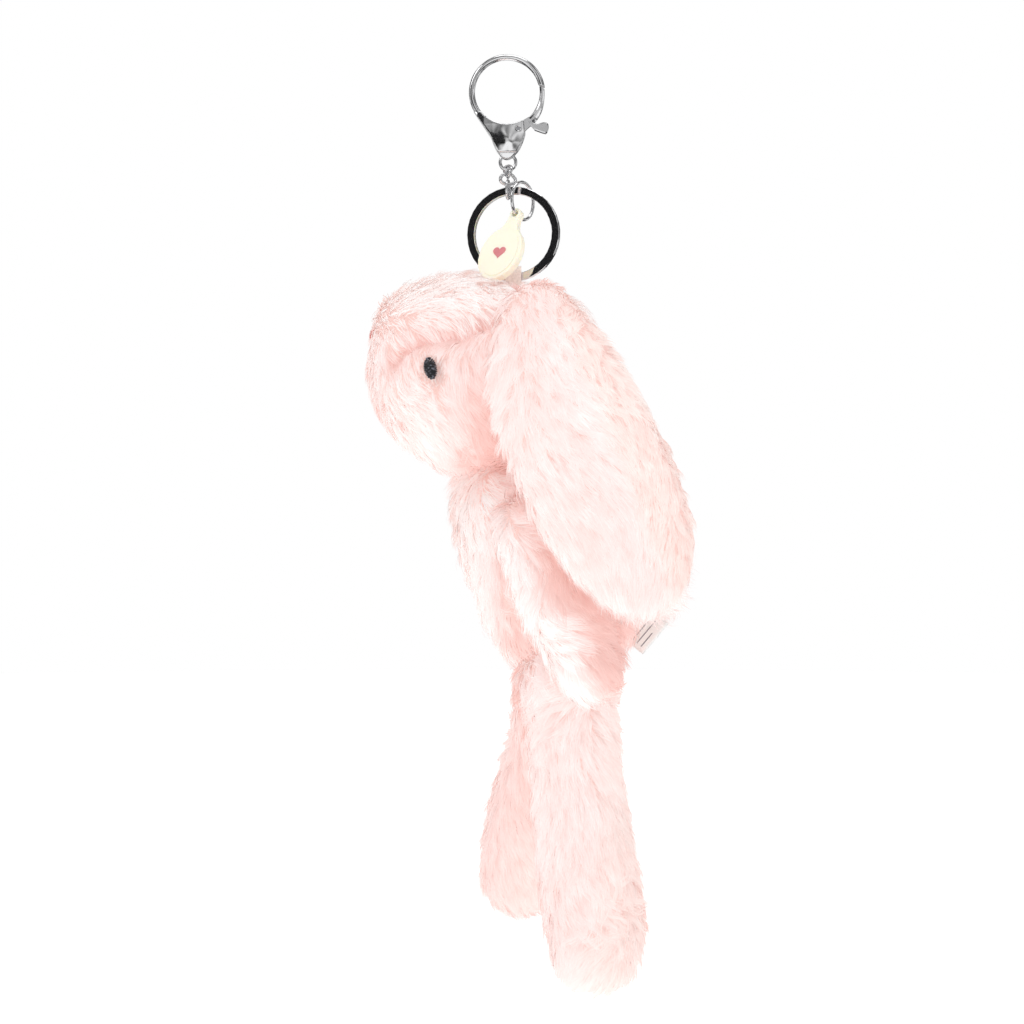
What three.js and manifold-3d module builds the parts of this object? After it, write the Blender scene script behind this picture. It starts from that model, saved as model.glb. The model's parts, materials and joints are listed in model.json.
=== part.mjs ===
// Plush rabbit keychain, in millimetres.
// +Z is up, the rabbit faces -Y and its left side is +X. The origin is the inside top of the
// clasp's loop, the point it hangs from.
import * as THREE from "three";
import { mergeVertices } from "three/addons/utils/BufferGeometryUtils.js";
import Module from "manifold-3d";

const wasm = await Module();
wasm.setup();

// ---- Driving dimensions ----

// Clearances
const GAP = 0.3; // between two pieces that touch
const RUN = 0.15; // round a pin that turns
const FABRIC = 1.4; // pile fabric with its backing

// Clasp
const LOOP_WIRE_R = 0.9;
const LOOP_R = 11.25; // to the middle of the wire
const LOOP_Z = LOOP_WIRE_R - LOOP_R;
const CLASP_THICK = 4.4;
const CHEEK_SLOT = 1.9;
const GATE_THICK = 1.5;
const GATE_Y = 3.6; // the gate's pivot
const GATE_Z = -22.2;
const GATE_REACH = 15.4; // pivot to the gate's tip
const PIN_R = 0.6;

// Chain and rings
const LINK_WIRE_R = 0.45;
const FIRST_RING_R = 2.5;
const FIRST_RING_Z = -32.7;
const CHAIN_Y = 0.3; // the chain hangs this far behind the loop's middle
const RING_R = 13.95; // split ring, to the middle of its band
const RING_BAND = 2.4; // radial width of the band
const RING_TURN = 0.95; // thickness of one turn
const RING_PITCH = 1.1;
const RING_Y = 2.1;
const RING_Z = -55.7;
const RING_YAW = -14; // degrees that its face turns to the rabbit's front

// Tag
const TAG_RING_R = 6.0;
const TAG_RING_WIRE_R = 0.4;
const TAG_HALF_WIDE = 7.6;
const TAG_HALF_TALL = 9.6;
const TAG_THICK = 2.6;
const TAG_DROP = 14.2; // hole to the middle of the oval
const TAG_HOLE_R = 1.15;
const TAG_YAW = 35; // degrees that the face turns to the rabbit's front

// Rabbit
const NECK = new THREE.Vector3(0, -3, -139);
const NECK_BALL_R = 11.9;
const HIP_X = 14;
const HIP_Y = 18.5;
const HIP_Z = -197;
const LEG_TOP_R = 11.9;
const LEG_LENGTH = 95;
const LEG_LEAN = 6.5; // degrees back, left leg
const FAR_LEG_LEAN = -9; // right leg, forwards
const FAR_LEG_SPLAY = 31; // right leg, outwards
const SHOULDER_X = 25.6;
const SHOULDER_Y = 6;
const SHOULDER_Z = -147;
const ARM_LENGTH = 56;
const ARM_TOP_R = 7;
const ARM_LEAN = 22; // degrees back
const ARM_SPREAD = 9; // degrees out, clear of the body

// ---- Axes and small helpers ----

const X = new THREE.Vector3(1, 0, 0);
const Y = new THREE.Vector3(0, 1, 0);
const Z = new THREE.Vector3(0, 0, 1);
const rad = THREE.MathUtils.degToRad;
const at = (x, y, z) => new THREE.Vector3(x, y, z);

// A point drawn in the side view (right is +Y, up is +Z), at depth x.
const sideFrame = new THREE.Matrix4().makeBasis(Y, Z, X);

// A closed skin over rings of points: joined round on itself, or closed by a fan at each end.
function skin(rings, joined = false) {
  const sides = rings[0].length;
  const points = rings.flat();
  const faces = [];
  const spans = joined ? rings.length : rings.length - 1;
  for (let i = 0; i < spans; i++) {
    const here = i * sides;
    const next = ((i + 1) % rings.length) * sides;
    for (let k = 0; k < sides; k++) {
      const l = (k + 1) % sides;
      faces.push([here + k, here + l, next + k], [here + l, next + l, next + k]);
    }
  }
  if (!joined) {
    const last = (rings.length - 1) * sides;
    const start = points.push(middleOf(rings[0])) - 1;
    const end = points.push(middleOf(rings[rings.length - 1])) - 1;
    for (let k = 0; k < sides; k++) {
      const l = (k + 1) % sides;
      faces.push([start, l, k], [end, last + k, last + l]);
    }
  }
  return closedGeometry(points, faces);
}

function middleOf(ring) {
  return ring.reduce((sum, p) => sum.add(p), at(0, 0, 0)).divideScalar(ring.length);
}

// A geometry whose faces point outwards, whichever way round they were given.
function closedGeometry(points, faces) {
  let volume = 0;
  for (const [a, b, c] of faces) {
    volume += points[a].dot(points[b].clone().cross(points[c]));
  }
  const order = volume < 0 ? faces.map(([a, b, c]) => [a, c, b]) : faces;
  const geometry = new THREE.BufferGeometry().setFromPoints(points);
  geometry.setIndex(order.flat());
  return geometry;
}

function toSolid(geometry) {
  const plain = geometry.clone();
  plain.deleteAttribute("normal");
  plain.deleteAttribute("uv");
  const merged = mergeVertices(plain, 1e-4);
  return new wasm.Manifold(
    new wasm.Mesh({
      numProp: 3,
      vertProperties: new Float32Array(merged.attributes.position.array),
      triVerts: new Uint32Array(merged.index.array),
    }),
  );
}

function toGeometry(solid) {
  const mesh = solid.getMesh();
  const geometry = new THREE.BufferGeometry();
  geometry.setAttribute("position", new THREE.BufferAttribute(mesh.vertProperties, 3));
  geometry.setIndex(new THREE.BufferAttribute(mesh.triVerts, 1));
  geometry.computeVertexNormals();
  return geometry;
}

function join(...geometries) {
  return toGeometry(geometries.map(toSolid).reduce((a, b) => a.add(b)));
}

function cut(geometry, ...tools) {
  return toGeometry(tools.map(toSolid).reduce((a, b) => a.subtract(b), toSolid(geometry)));
}

function keepInside(geometry, tool) {
  return toGeometry(toSolid(geometry).intersect(toSolid(tool)));
}

function box(x, y, z, centre) {
  return new THREE.BoxGeometry(x, y, z).translate(...centre);
}

function ball(radius, centre, sides = 20) {
  return new THREE.SphereGeometry(radius, sides, sides / 2).translate(...centre);
}

// A cylinder whose axis runs along X.
function rodAlongX(radius, length, centre, sides = 24) {
  return new THREE.CylinderGeometry(radius, radius, length, sides)
    .rotateZ(Math.PI / 2)
    .translate(...centre);
}

// A flat outline in the side view, pulled out along X about the middle plane.
function plate(shape, thickness, bevel = 0, curveSegments = 10) {
  const geometry = new THREE.ExtrudeGeometry(shape, {
    depth: thickness - 2 * bevel,
    bevelEnabled: bevel > 0,
    bevelThickness: bevel,
    bevelSize: bevel,
    bevelOffset: -bevel,
    bevelSegments: 2,
    curveSegments,
  });
  return geometry.translate(0, 0, bevel - thickness / 2).applyMatrix4(sideFrame);
}

// A wire of oval section along a curve. flatAt gives the direction of its first half-width, and
// sizeAt how much larger it is along the way.
function wire(pointAt, steps, joined, halfOne, halfTwo, flatAt, sides = 10, sizeAt = () => 1) {
  const rings = [];
  const count = joined ? steps : steps + 1;
  for (let i = 0; i < count; i++) {
    const t = i / steps;
    const here = pointAt(t);
    const run = pointAt(t + 1e-4).sub(pointAt(t - 1e-4)).normalize();
    const one = flatAt(t).clone().addScaledVector(run, -flatAt(t).dot(run)).normalize();
    const two = run.clone().cross(one);
    const ring = [];
    for (let k = 0; k < sides; k++) {
      const a = (2 * Math.PI * (k + 0.5)) / sides;
      ring.push(
        here
          .clone()
          .addScaledVector(one, halfOne * sizeAt(t) * Math.cos(a))
          .addScaledVector(two, halfTwo * sizeAt(t) * Math.sin(a)),
      );
    }
    rings.push(ring);
  }
  return skin(rings, joined);
}

// An oval link in its own X-Z plane, hanging from its top. twist turns one end against the other.
function link(halfWide, halfTall, wireR, twist = 0, steps = 24, sides = 8) {
  const flat = (t) => Y.clone().applyAxisAngle(Z, twist * Math.cos(2 * Math.PI * t));
  const pointAt = (t) => {
    const a = 2 * Math.PI * t;
    return at(halfWide * Math.sin(a), 0, halfTall * Math.cos(a) - halfTall).applyAxisAngle(
      Z,
      twist * Math.cos(a),
    );
  };
  return wire(pointAt, steps, true, wireR, wireR, flat, sides);
}

// ---- Sub-parts and their materials ----

const group = new THREE.Group();
group.name = "plush_keychain";

const finishes = {
  silver: { color: 0xd9dadc, roughness: 0.12, metalness: 1 },
  darkSteel: { color: 0x9a9ca0, roughness: 0.3, metalness: 1 },
  cream: { color: 0xf6f0d8, roughness: 0.45, metalness: 0 },
  pilePink: { color: 0xf9dcd6, roughness: 0.95, metalness: 0 },
  pilePale: { color: 0xfbe8e2, roughness: 0.95, metalness: 0 },
  fibre: { color: 0xf4f2ee, roughness: 1, metalness: 0 },
  tape: { color: 0xf3d2cb, roughness: 0.8, metalness: 0 },
  black: { color: 0x15141a, roughness: 0.5, metalness: 0 },
  rose: { color: 0xe3a6a0, roughness: 0.6, metalness: 0 },
  satin: { color: 0xf4f3f0, roughness: 0.4, metalness: 0 },
};

function add(name, geometry, finish, parent = group) {
  const mesh = new THREE.Mesh(geometry, new THREE.MeshStandardMaterial(finishes[finish]));
  mesh.name = name;
  parent.add(mesh);
  return mesh;
}

// Clasp: one casting with the fixed hook and the eye, in the side view.
const onLoop = (degrees, r = LOOP_R) =>
  at(0, r * Math.cos(rad(degrees)), LOOP_Z + r * Math.sin(rad(degrees)));

function loopArc(from, to, halfRadial, steps, sizeAt = () => 1) {
  const pointAt = (t) => onLoop(from + (to - from) * t, LOOP_R + halfRadial * (sizeAt(t) - 1));
  return wire(pointAt, steps, false, halfRadial * 1.1, halfRadial, () => X, 12, sizeAt);
}

// The first ring's path, and a wider copy that makes the curved hole it runs in.
const firstRing = (wireR) =>
  new THREE.TorusGeometry(FIRST_RING_R, wireR, 8, 28)
    .applyMatrix4(sideFrame)
    .translate(0, CHAIN_Y, FIRST_RING_Z);

function claspBody() {
  const s = new THREE.Shape();
  s.moveTo(-10.6, LOOP_Z - 6.2);
  s.lineTo(-4.8, -25.2);
  s.quadraticCurveTo(-3.4, -29.6, -1.5, -31.2);
  s.quadraticCurveTo(0, -32.2, 1.5, -31.2);
  s.quadraticCurveTo(4.6, -28.4, 5.8, -23.6);
  s.lineTo(5.4, -20.6);
  s.absarc(0, LOOP_Z, LOOP_R - 0.8, rad(-60), rad(-143), true);
  s.closePath();
  // The flat outline is domed on both faces.
  const dome = ball(1, [0, 0, 0], 26).scale(CLASP_THICK / 2 + 0.1, 13, 13).translate(0, 0, -23.5);
  return keepInside(plate(s, CLASP_THICK, 0, 14), dome);
}

function claspFrame() {
  const hookEnd = keepInside(
    rodAlongX(GATE_REACH + 0.35, 8, [0, GATE_Y, GATE_Z], 48),
    box(8, 12, 30, [0, 12, -14]),
  );
  const hook = cut(loopArc(218, 4, LOOP_WIRE_R, 40), hookEnd);
  const slot = box(CHEEK_SLOT, 10, 9.4, [0, 5.8, -21.9]);
  const lugSide = (x) => box(2, 6, 3.4, [x, 0, -31.3]);
  return cut(
    join(claspBody(), hook),
    slot,
    rodAlongX(PIN_R + RUN, 8, [0, GATE_Y, GATE_Z], 20),
    firstRing(LINK_WIRE_R + 0.35),
    lugSide(2.5),
    lugSide(-2.5),
  );
}

// Gate: the curved bar that closes the loop, its hub, heel and thumb tab.
function claspTrigger() {
  // The bar broadens outwards to the hub.
  const broaden = (t) => 1.75 - 0.75 * THREE.MathUtils.smoothstep(t, 0, 0.8);
  const bar = keepInside(
    loopArc(-50, 14, 0.78, 16, broaden),
    rodAlongX(GATE_REACH, 8, [0, GATE_Y, GATE_Z], 48),
  );
  const s = new THREE.Shape();
  s.moveTo(7.0, -18.2);
  s.quadraticCurveTo(3.6, -20.2, 2.2, -21.2);
  s.quadraticCurveTo(0.9, -22.4, 1.4, -23.3);
  s.lineTo(2.8, -23.7);
  s.quadraticCurveTo(5.0, -23.9, 6.2, -22.3);
  s.lineTo(8.4, -20.4);
  s.closePath();
  const tab = new THREE.Shape();
  tab.moveTo(6.9, -19.6);
  tab.lineTo(9.8, -20.6);
  tab.quadraticCurveTo(12.4, -19.4, 13.2, -20.6);
  tab.quadraticCurveTo(13.7, -22.6, 12.4, -23.6);
  tab.quadraticCurveTo(10.6, -23.2, 8.8, -22.4);
  tab.lineTo(7.6, -21.2);
  tab.closePath();
  return cut(
    join(bar, plate(s, GATE_THICK, 0, 8), plate(tab, 2.6, 0.35, 8)),
    rodAlongX(PIN_R + RUN, 8, [0, GATE_Y, GATE_Z], 20),
  );
}

// Coil under the gate's heel, standing on the floor of the slot.
const SPRING_FLOOR = -26.4;
function claspSpring() {
  const turns = 4;
  const height = 2.1;
  const pointAt = (t) => {
    const a = 2 * Math.PI * turns * t;
    return at(0.62 * Math.cos(a), 2.0 + 0.62 * Math.sin(a), SPRING_FLOOR + 0.15 + height * t);
  };
  return wire(pointAt, turns * 9, false, 0.14, 0.14, () => Z, 6);
}

add("clasp_frame", claspFrame(), "silver");
add("clasp_trigger", claspTrigger(), "silver");
add(
  "clasp_pivot_pin",
  rodAlongX(PIN_R, CLASP_THICK - 0.2, [0, GATE_Y, GATE_Z], 20),
  "darkSteel",
);
add("clasp_spring", claspSpring(), "darkSteel");

// Chain: a round ring, two short twisted links and a longer link over the split ring.
add("chain_link_1", firstRing(LINK_WIRE_R), "silver");

const chainLinks = [
  { name: "chain_link_2", top: -33.95, turn: 22, halfTall: 1.75, halfWide: 2.4, twist: 0.3 },
  { name: "chain_link_3", top: -36.25, turn: -58, halfTall: 1.75, halfWide: 2.8, twist: 0.3 },
  { name: "chain_link_4", top: -38.55, turn: -10, halfTall: 2.9, halfWide: 2.6, twist: 0 },
];
for (const { name, top, turn, halfTall, halfWide, twist } of chainLinks) {
  const mesh = add(name, link(halfWide, halfTall, LINK_WIRE_R, twist), "silver");
  mesh.position.set(0, CHAIN_Y, top);
  mesh.rotation.z = rad(turn);
}

// Split ring: flat wire wound twice, stepping over between the turns.
function splitRing() {
  const sweep = 2 * 360 - 24;
  const stepStart = 330;
  const stepLength = 50;
  const pointAt = (t) => {
    const turned = sweep * t;
    const over = THREE.MathUtils.smoothstep(turned, stepStart, stepStart + stepLength);
    const a = rad(250 - turned);
    return at(RING_PITCH * (0.5 - over), RING_R * Math.cos(a), RING_R * Math.sin(a));
  };
  // The band's section is a rectangle with its edges eased, so it is drawn corner by corner.
  const rings = [];
  const steps = 70;
  for (let i = 0; i <= steps; i++) {
    const here = pointAt(i / steps);
    const out = at(0, here.y, here.z).normalize();
    const ease = 0.15;
    const halfX = RING_TURN / 2;
    const halfOut = RING_BAND / 2;
    const corners = [
      [halfX, halfOut - ease],
      [halfX - ease, halfOut],
      [ease - halfX, halfOut],
      [-halfX, halfOut - ease],
      [-halfX, ease - halfOut],
      [ease - halfX, -halfOut],
      [halfX - ease, -halfOut],
      [halfX, ease - halfOut],
    ];
    rings.push(corners.map(([x, r]) => here.clone().add(at(x, 0, 0)).addScaledVector(out, r)));
  }
  return skin(rings);
}
const ring = add("split_ring", splitRing(), "silver");
ring.position.set(0, RING_Y, RING_Z);
ring.rotation.z = rad(RING_YAW);

// Tag ring: threaded on the split ring's band, standing square to the tag's face.
const tagAcross = at(Math.cos(rad(TAG_YAW)), -Math.sin(rad(TAG_YAW)), 0); // the face's normal, level
const tagAlong = at(Math.sin(rad(TAG_YAW)), Math.cos(rad(TAG_YAW)), 0);
const TAG_RING_ANGLE = 78; // where it sits on the split ring
const TAG_RING_DROP = 3.1; // its middle below the band's
const tagRingMiddle = at(
  -RING_R * Math.cos(rad(TAG_RING_ANGLE)) * Math.sin(rad(RING_YAW)),
  RING_Y + RING_R * Math.cos(rad(TAG_RING_ANGLE)),
  RING_Z + RING_R * Math.sin(rad(TAG_RING_ANGLE)) - TAG_RING_DROP,
);
const tagRing = add(
  "tag_jump_ring",
  new THREE.TorusGeometry(TAG_RING_R, TAG_RING_WIRE_R, 8, 32).applyMatrix4(
    new THREE.Matrix4().makeBasis(tagAcross, Z, tagAlong.clone().negate()),
  ),
  "silver",
);
tagRing.position.copy(tagRingMiddle);

// Tag: an oval disc with a lug, leaning out over the crown of the head.
function tagDisc() {
  const s = new THREE.Shape();
  const lugR = 2.1;
  s.absarc(0, 0, lugR, rad(-20), rad(200), false);
  s.quadraticCurveTo(-1.6, -2.6, -3.2, -TAG_DROP + TAG_HALF_TALL * 0.9);
  s.absellipse(
    0,
    -TAG_DROP,
    TAG_HALF_WIDE,
    TAG_HALF_TALL,
    rad(115),
    rad(425),
    false,
    0,
  );
  s.quadraticCurveTo(1.6, -2.6, lugR * Math.cos(rad(-20)), lugR * Math.sin(rad(-20)));
  const body = plate(s, TAG_THICK, 0.35, 9);
  // A raised oval panel carries the printed face.
  const panel = new THREE.CylinderGeometry(1, 1, TAG_THICK / 2 + 0.2, 36)
    .scale(TAG_HALF_WIDE - 1.2, 1, TAG_HALF_TALL - 1.2)
    .rotateZ(-Math.PI / 2)
    .translate(TAG_THICK / 4 + 0.1, 0, -TAG_DROP);
  return cut(join(body, panel), rodAlongX(TAG_HOLE_R, 8, [0, 0, 0], 20));
}
const TAG_LEAN_OUT = 17; // degrees the lower end leans out
const TAG_LEAN_FRONT = 21; // degrees the lower end swings to the rabbit's front
const TAG_HOLE_ANGLE = -57; // where the hole sits round the tag ring
const tag = add("tag_disc", tagDisc(), "cream");
const tagDown = at(
  Math.tan(rad(TAG_LEAN_OUT)),
  -Math.tan(rad(TAG_LEAN_FRONT)),
  -1,
).normalize();
const tagNormal = tagAcross
  .clone()
  .addScaledVector(tagDown, -tagAcross.dot(tagDown))
  .normalize();
const tagSide = tagDown.clone().negate().cross(tagNormal);
tag.matrix.makeBasis(tagNormal, tagSide, tagDown.clone().negate());
tag.quaternion.setFromRotationMatrix(tag.matrix);
tag.position
  .copy(tagRingMiddle)
  .addScaledVector(tagAcross, TAG_RING_R * Math.cos(rad(TAG_HOLE_ANGLE)))
  .addScaledVector(Z, TAG_RING_R * Math.sin(rad(TAG_HOLE_ANGLE)));

// ---- The rabbit ----

// An oval ring of a stuffed body: half-widths one and two along the directions given.
function oval(centre, one, halfOne, two, halfTwo, sides, power) {
  const ring = [];
  for (let k = 0; k < sides; k++) {
    const a = (2 * Math.PI * k) / sides;
    const c = Math.sign(Math.cos(a)) * Math.abs(Math.cos(a)) ** (2 / power);
    const s = Math.sign(Math.sin(a)) * Math.abs(Math.sin(a)) ** (2 / power);
    ring.push(
      centre.clone().addScaledVector(one, halfOne * c).addScaledVector(two, halfTwo * s),
    );
  }
  return ring;
}

// A body skinned over its stations, drawn in by inset all round for linings and fillings.
function stuffed(stations, inset = 0, sides = 22, power = 2.2) {
  const least = 1;
  const first = stations[0].centre;
  const last = stations[stations.length - 1].centre;
  const middle = first.clone().add(last).multiplyScalar(0.5);
  const shorter = 1 - (2 * inset) / first.distanceTo(last);
  const rings = stations.map((s) => {
    const centre = s.centre.clone().sub(middle).multiplyScalar(shorter).add(middle);
    const halfOne = Math.max(least, s.halfOne - inset);
    const halfTwo = Math.max(least, s.halfTwo - inset);
    return oval(centre, s.one, halfOne, s.two, halfTwo, sides, power);
  });
  return skin(rings);
}

// Head: level slices from the nose back. Each row is y, top, bottom and half-width.
const headStations = [
  [-40.2, -87, -103, 8],
  [-38.6, -80.5, -110.5, 15],
  [-34, -77.5, -117.5, 20.5],
  [-27, -75.5, -123, 24.5],
  [-18, -73.5, -127.5, 27],
  [-8, -72.2, -129.2, 28],
  [2, -72.2, -128, 28],
  [11, -75, -124.5, 26.5],
  [19, -80.5, -118.5, 22],
  [24.5, -88, -110, 14.5],
  [27, -94, -104, 7],
].map(([y, top, bottom, half]) => ({
  centre: at(0, y, (top + bottom) / 2),
  one: X,
  halfOne: half,
  two: Z,
  halfTwo: (top - bottom) / 2,
}));

// Torso: flat slices from the neck down. Each row is z, front, back and half-width.
const torsoStations = [
  [-128.4, -6, 0.5, 3.6],
  [-131, -10.6, 4.8, 7.6],
  [-135.5, -13, 8.4, 10.4],
  [-141, -13.4, 12, 13.4],
  [-148, -12.6, 20, 16.4],
  [-156, -10.6, 29, 18.6],
  [-165, -7.4, 36, 20.8],
  [-174, -4, 39.6, 21.8],
  [-182, -0.6, 38, 21.4],
  [-188, 3.4, 32.5, 18],
  [-191, 9, 26, 12],
].map(([z, front, back, half]) => ({
  centre: at(0, (front + back) / 2, z),
  one: X,
  halfOne: half,
  two: Y,
  halfTwo: (back - front) / 2,
}));

const hips = [HIP_X, -HIP_X].map((x) => at(x, HIP_Y, HIP_Z));

// A cover is the outside less the lining, open at one seam. sockets are [centre, radius].
function coverOf(stations, sockets, opening) {
  const hollow = (inset) =>
    cut(stuffed(stations, inset), ...sockets.map(([c, r]) => ball(r + inset, c)));
  return cut(hollow(0), hollow(FABRIC), opening);
}

function fillingOf(stations, sockets) {
  const inset = FABRIC + GAP;
  return cut(stuffed(stations, inset), ...sockets.map(([c, r]) => ball(r + inset, c)));
}

const headSockets = [[NECK, NECK_BALL_R + 1.2]];
const hipSockets = hips.map((hip) => [hip, LEG_TOP_R + 0.6]);

// Crown loop: a folded tape round the bottom of the split ring, its ends sewn into the crown.
const LOOP_TAPE_WIDE = 5;
const LOOP_TAPE_THICK = 0.8;
const LOOP_HALF = 2.0; // half the space inside the fold
function crownLoop(extra = 0) {
  const outer = new THREE.Shape();
  const top = -65.9 + extra;
  const r = LOOP_HALF + LOOP_TAPE_THICK + extra;
  const foot = -77 - extra;
  outer.moveTo(-r, foot);
  outer.lineTo(-r, top - r);
  outer.absarc(0, top - r, r, Math.PI, 0, true);
  outer.lineTo(r, foot);
  const inside = LOOP_HALF - extra;
  outer.lineTo(inside, foot);
  outer.lineTo(inside, top - r);
  outer.absarc(0, top - r, inside, 0, Math.PI, false);
  outer.lineTo(-inside, foot);
  outer.closePath();
  return new THREE.ExtrudeGeometry(outer, {
    depth: LOOP_TAPE_WIDE + 2 * extra,
    bevelEnabled: false,
    curveSegments: 10,
  })
    .rotateX(Math.PI / 2)
    .translate(0, RING_Y + LOOP_TAPE_WIDE / 2 + extra, 0);
}

const neckOpening = rodAlongX(4, 12, [0, 0, 0], 20)
  .rotateY(Math.PI / 2)
  .translate(NECK.x, NECK.y, NECK.z + NECK_BALL_R);
const loopSlots = crownLoop(0.3);
add("crown_loop", crownLoop(), "tape");
add(
  "head_cover",
  cut(coverOf(headStations, headSockets, neckOpening), loopSlots),
  "pilePink",
);
add("head_stuffing", cut(fillingOf(headStations, headSockets), loopSlots), "fibre");
add("torso_cover", coverOf(torsoStations, hipSockets, neckOpening), "pilePink");
add("torso_stuffing", fillingOf(torsoStations, hipSockets), "fibre");

// A limb turned about its own axis: a ball at the joint, then a sleeve and a rounded end.
// widths are [share of the length, radius] from the ball down.
function limbProfile(topR, length, widths, inset) {
  const outline = new THREE.SplineCurve([
    new THREE.Vector2(topR, 0),
    ...widths.map(([share, r]) => new THREE.Vector2(r, -share * length)),
  ]);
  const points = [];
  for (let i = 0; i <= 4; i++) {
    const a = (Math.PI / 2) * (1 - i / 4);
    points.push([(topR - inset) * Math.cos(a), (topR - inset) * Math.sin(a)]);
  }
  points[0][0] = 0;
  const down = outline.getPoints(7).slice(1);
  for (const p of down) points.push([p.x - inset, p.y]);
  const end = down[down.length - 1];
  for (let i = 1; i <= 3; i++) {
    const a = (Math.PI / 2) * (i / 3);
    const drop = length + end.y;
    points.push([(end.x - inset) * Math.cos(a), end.y - (drop - inset) * Math.sin(a)]);
  }
  points[points.length - 1][0] = 0;
  return points.reverse().map(([r, z]) => new THREE.Vector2(r, z));
}

function limb(topR, length, widths, flat, inset, sides = 14) {
  return new THREE.LatheGeometry(limbProfile(topR, length, widths, inset), sides)
    .rotateX(Math.PI / 2)
    .scale(flat, 1, 1);
}

const legWidths = [
  [0.14, 10.9],
  [0.3, 10.4],
  [0.55, 11.6],
  [0.78, 11.9],
  [0.9, 10.6],
];
const armWidths = [
  [0.25, 8.2],
  [0.6, 8.6],
  [0.86, 7.9],
];

// Adds a limb's cover and filling under one pivot, so both turn together.
function addLimb(name, pivot, turn, size) {
  const { topR, length, widths, flat, seamR } = size;
  const joint = new THREE.Group();
  joint.position.copy(pivot);
  joint.rotation.copy(turn);
  group.add(joint);
  const seam = new THREE.CylinderGeometry(seamR, seamR, 10, 16)
    .rotateX(Math.PI / 2)
    .translate(0, 0, topR);
  const outside = limb(topR, length, widths, flat, 0);
  add(name, cut(outside, limb(topR, length, widths, flat, FABRIC), seam), "pilePink", joint);
  add(`${name}_stuffing`, limb(topR, length, widths, flat, FABRIC + GAP), "fibre", joint);
}

const legSize = { topR: LEG_TOP_R, length: LEG_LENGTH, widths: legWidths, flat: 1, seamR: 3.4 };
const armSize = { topR: ARM_TOP_R, length: ARM_LENGTH, widths: armWidths, flat: 0.78, seamR: 2.2 };
const lean = (back, outwards) => new THREE.Euler(rad(back), rad(outwards), 0, "YXZ");
addLimb("leg_left", hips[0], lean(LEG_LEAN, 0), legSize);
addLimb("leg_right", hips[1], lean(FAR_LEG_LEAN, FAR_LEG_SPLAY), legSize);
for (const [side, sign] of [["left", 1], ["right", -1]]) {
  const shoulder = at(sign * SHOULDER_X, SHOULDER_Y, SHOULDER_Z);
  addLimb(`arm_${side}`, shoulder, lean(ARM_LEAN, sign * -ARM_SPREAD), armSize);
}

// Ears: flat padded flaps. Each row is the middle (y, z), depth x, half-width and half-thickness.
const earStations = [
  [7.6, -76.5, 22.5, 3.5, 1.8],
  [8.4, -79.5, 26.6, 8, 3.4],
  [10, -87, 32.6, 12, 4.2],
  [12.6, -97, 36.4, 16.2, 4.6],
  [17, -109, 38.6, 18.6, 4.8],
  [22.4, -122, 40, 20.2, 4.8],
  [28.6, -136, 41.4, 20.8, 4.6],
  [35, -149, 42.8, 19.4, 4.4],
  [40.8, -160, 43.6, 15.6, 4],
  [44.6, -167.5, 44, 9.6, 3],
  [46.2, -171, 44.2, 4, 1.6],
];

function ear(sign) {
  const middles = earStations.map(([y, z, x]) => at(sign * x, y, z));
  const stations = earStations.map(([, , , wide, thick], i) => {
    const before = middles[Math.max(0, i - 1)];
    const after = middles[Math.min(middles.length - 1, i + 1)];
    const run = after.clone().sub(before).normalize();
    const two = X.clone().addScaledVector(run, -run.x).normalize();
    return {
      centre: middles[i],
      one: run.clone().cross(two),
      halfOne: wide,
      two,
      halfTwo: thick,
    };
  });
  return stuffed(stations, 0, 20, 2.4);
}
add("ear_left", ear(1), "pilePale");
add("ear_right", ear(-1), "pilePale");

// Eyes: domed embroidered ovals on the sides of the face. Nose: a small one at its front corner.
function stitchedOval(halfTall, halfWide, rise) {
  const dome = new THREE.SphereGeometry(1, 16, 10).scale(rise, halfWide, halfTall);
  return keepInside(dome, box(2 * rise, 2 * halfWide, 2 * halfTall, [rise, 0, 0]));
}
for (const [side, sign] of [["left", 1], ["right", -1]]) {
  const eye = add(`eye_${side}`, stitchedOval(3.6, 2.2, 1.8), "black");
  eye.position.set(sign * 25.9, -24.3, -98.6);
  eye.rotation.set(rad(12), 0, sign > 0 ? rad(-14) : rad(194));
}
const nose = add("nose", stitchedOval(2.2, 3.2, 1.6), "rose");
nose.position.set(0, -41.2, -87.6);
nose.rotation.set(0, rad(-24), rad(-90), "ZYX");

// Tail: a small round puff on the rump.
const tail = add("tail", ball(1, [0, 0, 0], 16), "pilePale");
tail.scale.set(6.6, 5.6, 6.2);
tail.position.set(0, 46.2, -168);

// Care label: a satin strip folded double, sewn into the seam under the tail.
const LABEL_WIDE = 13;
const LABEL_LONG = 11;
const label = add("care_label", box(0.5, LABEL_LONG, LABEL_WIDE, [0, LABEL_LONG / 2, 0]), "satin");
label.position.set(0, 39.9, -180.4);
label.rotation.x = rad(-40);

export default group;
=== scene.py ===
import json
import math

import bpy
import numpy as np
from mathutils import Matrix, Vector, kdtree


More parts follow.
